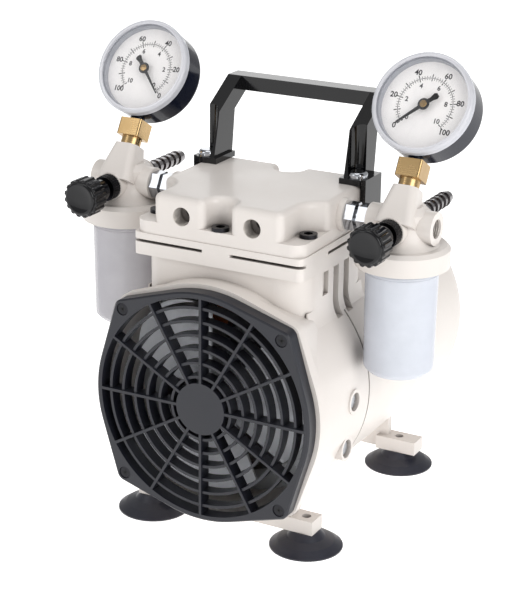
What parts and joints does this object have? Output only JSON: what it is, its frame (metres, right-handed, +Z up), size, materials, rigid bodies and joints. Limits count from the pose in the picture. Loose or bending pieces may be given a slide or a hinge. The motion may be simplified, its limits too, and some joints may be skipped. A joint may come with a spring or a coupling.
{
  "type": "diaphragm vacuum pump",
  "caption": "Oil-free diaphragm vacuum pump with fan-cooled motor, cast head, carrying handle, two regulator bodies with jars and gauges, and suction feet.",
  "frame": {"origin": "middle of the overall bounding box in X and Y, on the surface that it stands on", "axes": "+X to the pump's right as seen from the fan end, +Y back along the shaft to the motor's domed end, +Z up"},
  "size_m": [0.2784, 0.29, 0.3276],
  "materials": {
    "cream_paint": "satin off-white paint on a casting",
    "black_plastic": "moulded near-black plastic",
    "handle_black": "glossy black moulding",
    "rubber": "black rubber",
    "steel": "machined steel",
    "laminations": "stacked electrical steel",
    "copper": "varnished copper wire",
    "aluminium": "cast aluminium",
    "black_screw": "blackened steel",
    "chrome": "bright plated",
    "brass": "machined brass",
    "fan_grey": "light grey moulded plastic",
    "jar_clear": "clear moulded bowl",
    "lens_clear": "clear moulded lens",
    "gauge_black": "gloss black enamel",
    "dial_white": "white enamelled plate",
    "pointer_black": "black pointer",
    "spring_steel": "spring steel strip"
  },
  "bodies": {
    "base": {"bearing_bracket": "aluminium", "bracket_screws": "steel", "cable_gland": "black_plastic", "diaphragm": "rubber", "fan_guard": "black_plastic", "foot_screws": "steel", "front_bearing": "steel", "front_housing": "cream_paint", "front_left_suction_cup": "rubber", "front_right_suction_cup": "rubber", "guard_screws": "black_screw", "handle": "handle_black", "handle_screws": "chrome", "head_bolts": "black_screw", "head_cover": "cream_paint", "left_gasket": "rubber", "left_gauge_adapter": "brass", "left_gauge_case": "gauge_black", "left_gauge_dial": "dial_white", "left_gauge_lens": "lens_clear", "left_hose_barb": "chrome", "left_nipple": "chrome", "left_trap_body": "cream_paint", "left_valve_bush": "chrome", "rear_bearing": "steel", "rear_housing": "cream_paint", "rear_left_suction_cup": "rubber", "rear_right_suction_cup": "rubber", "reed_screws": "steel", "right_gasket": "rubber", "right_gauge_adapter": "brass", "right_gauge_case": "gauge_black", "right_gauge_dial": "dial_white", "right_gauge_lens": "lens_clear", "right_hose_barb": "chrome", "right_nipple": "chrome", "right_trap_body": "cream_paint", "right_valve_bush": "chrome", "stator_core": "laminations", "stator_windings": "copper", "tie_bolts": "steel", "valve_plate": "aluminium"},
    "crank": {"shaft": "steel", "rotor_core": "laminations", "fan": "fan_grey", "eccentric": "steel", "rod_bearing": "steel"},
    "rod": {"connecting_rod": "aluminium", "diaphragm_clamp": "aluminium"},
    "intake_flap": {"intake_reed": "spring_steel"},
    "exhaust_flap": {"exhaust_reed": "spring_steel"},
    "left_spindle": {"left_spindle": "steel"},
    "left_knob": {"left_knob": "black_plastic"},
    "left_jar": {"left_jar": "jar_clear"},
    "left_pointer": {"left_gauge_pointer": "pointer_black"},
    "right_spindle": {"right_spindle": "steel"},
    "right_knob": {"right_knob": "black_plastic"},
    "right_jar": {"right_jar": "jar_clear"},
    "right_pointer": {"right_gauge_pointer": "pointer_black"}
  },
  "joints": [
    {"name": "crank_spin", "type": "hinge", "parent": "base", "child": "crank", "pos_m": [0, -0.069, 0.101], "axis": [0, 1, 0], "continuous": true, "deforming": ["diaphragm"]},
    {"name": "rod_pivot", "type": "hinge", "parent": "crank", "child": "rod", "pos_m": [0, -0.069, 0.1045], "axis": [0, 1, 0], "continuous": true},
    {"name": "intake_flap_bend", "type": "hinge", "parent": "base", "child": "intake_flap", "pos_m": [-0.02, -0.087, 0.2084], "axis": [-1, 0, 0], "range_deg": [0, 3], "stiffness_Nm_per_rad": 0.02},
    {"name": "exhaust_flap_bend", "type": "hinge", "parent": "base", "child": "exhaust_flap", "pos_m": [0.02, -0.087, 0.2126], "axis": [1, 0, 0], "range_deg": [0, 3], "stiffness_Nm_per_rad": 0.02},
    {"name": "left_spindle_slide", "type": "slide", "parent": "base", "child": "left_spindle", "axis": [0, 1, 0], "range_m": [0, 0.002]},
    {"name": "left_knob_turn", "type": "hinge", "parent": "left_spindle", "child": "left_knob", "pos_m": [-0.105, -0.065, 0.223], "axis": [0, 1, 0], "range_deg": [0, 726]},
    {"name": "left_jar_unscrew", "type": "slide", "parent": "base", "child": "left_jar", "axis": [0, 0, -1], "range_m": [0, 0.01]},
    {"name": "left_pointer_turn", "type": "hinge", "parent": "base", "child": "left_pointer", "pos_m": [-0.105, -0.03269, 0.29179], "axis": [0, -0.8572, 0.515], "range_deg": [0, 270], "stiffness_Nm_per_rad": 0.0005},
    {"name": "right_spindle_slide", "type": "slide", "parent": "base", "child": "right_spindle", "axis": [0, 1, 0], "range_m": [0, 0.002]},
    {"name": "right_knob_turn", "type": "hinge", "parent": "right_spindle", "child": "right_knob", "pos_m": [0.105, -0.065, 0.223], "axis": [0, 1, 0], "range_deg": [0, 726]},
    {"name": "right_jar_unscrew", "type": "slide", "parent": "base", "child": "right_jar", "axis": [0, 0, -1], "range_m": [0, 0.01]},
    {"name": "right_pointer_turn", "type": "hinge", "parent": "base", "child": "right_pointer", "pos_m": [0.105, -0.03269, 0.29179], "axis": [0, 0.8572, -0.515], "range_deg": [0, 264], "stiffness_Nm_per_rad": 0.0005}
  ],
  "couplings": [
    {"joint": "rod_pivot", "follows": "crank_spin", "ratio": -1},
    {"joint": "left_knob_turn", "follows": "left_spindle_slide", "rad_per_m": 6283.2},
    {"joint": "right_knob_turn", "follows": "right_spindle_slide", "rad_per_m": 6283.2}
  ]
}
